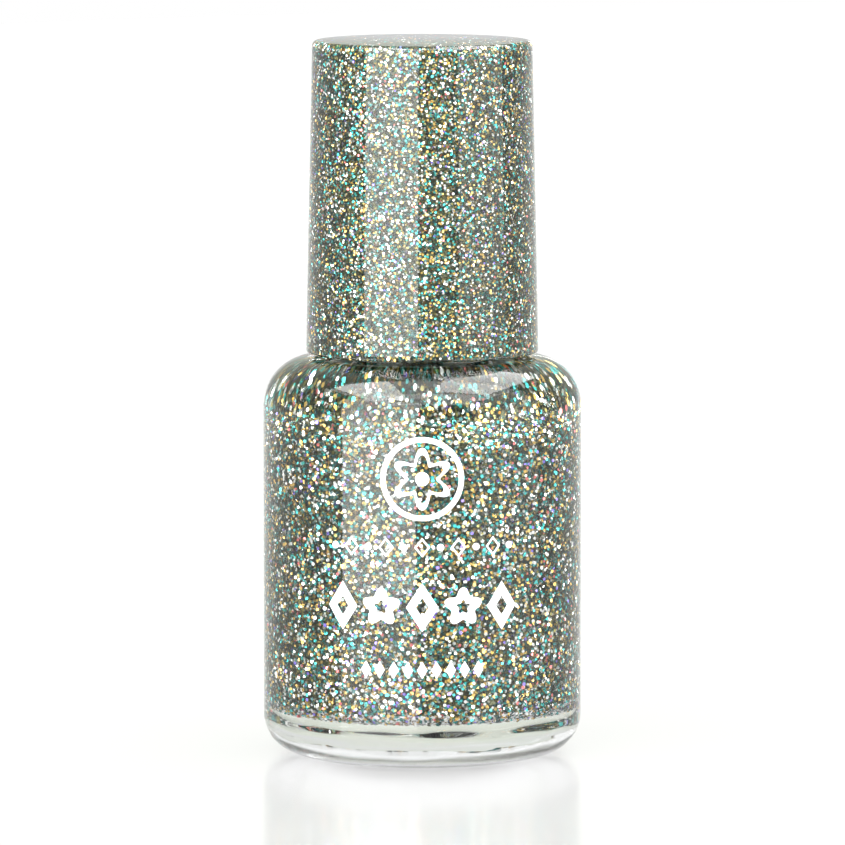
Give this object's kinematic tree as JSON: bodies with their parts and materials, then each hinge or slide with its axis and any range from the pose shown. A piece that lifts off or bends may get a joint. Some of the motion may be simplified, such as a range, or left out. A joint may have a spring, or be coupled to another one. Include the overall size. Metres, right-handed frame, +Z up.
{
  "type": "nail polish bottle",
  "caption": "Round glass nail polish bottle filled with glitter lacquer, with a tall tapered screw cap that unscrews and lifts off with its brush.",
  "frame": {"origin": "centre of the foot ring, on the surface that the bottle stands on", "axes": "+Z up along the bottle's axis, which the cap unscrews and lifts along; the printed front faces -Y"},
  "size_m": [0.023, 0.023, 0.0516],
  "materials": {
    "clear_glass": "clear polished glass",
    "glitter_lacquer": "clear lacquer packed with silver, teal and gold glitter",
    "print_ink": "white screen-printed ink",
    "label_paper": "matt paper",
    "ball_steel": "polished stainless steel",
    "liner_foam": "white closed-cell foam",
    "stem_plastic": "satin moulded plastic",
    "anchor_brass": "drawn wire",
    "bristle_nylon": "black nylon filament",
    "cap_glitter_plastic": "clear gloss plastic over a glitter coat",
    "closure_plastic": "satin moulded plastic"
  },
  "bodies": {
    "bottle": {"glass_bottle": "clear_glass", "lacquer": "glitter_lacquer", "base_label": "label_paper"},
    "ball_1": {"mixing_ball_1": "ball_steel"},
    "ball_2": {"mixing_ball_2": "ball_steel"},
    "liner": {"sealing_liner": "liner_foam"},
    "brush": {"brush_stem": "stem_plastic", "tuft_anchor": "anchor_brass", "bristles": "bristle_nylon"},
    "cap": {"outer_cap": "cap_glitter_plastic", "inner_cap": "closure_plastic"}
  },
  "joints": [
    {"name": "cap_lift", "type": "slide", "parent": "bottle", "child": "liner", "axis": [0, 0, 1], "range_m": [0, 0.04]},
    {"name": "thread_rise", "type": "slide", "parent": "liner", "child": "brush", "axis": [0, 0, 1], "range_m": [0, 0.0042]},
    {"name": "cap_turn", "type": "hinge", "parent": "brush", "child": "cap", "pos_m": [0, 0, 0.04], "axis": [0, 0, 1], "range_deg": [0, 720]},
    {"name": "ball_1_roll", "type": "hinge", "parent": "bottle", "child": "ball_1", "pos_m": [0, 0, 0.00499], "axis": [0, 0, 1], "range_deg": [-75, 75]},
    {"name": "ball_2_roll", "type": "hinge", "parent": "bottle", "child": "ball_2", "pos_m": [0, 0, 0.00499], "axis": [0, 0, 1], "range_deg": [-75, 75]}
  ],
  "couplings": [
    {"joint": "thread_rise", "follows": "cap_turn", "m_per_rad": 0.00033423}
  ]
}
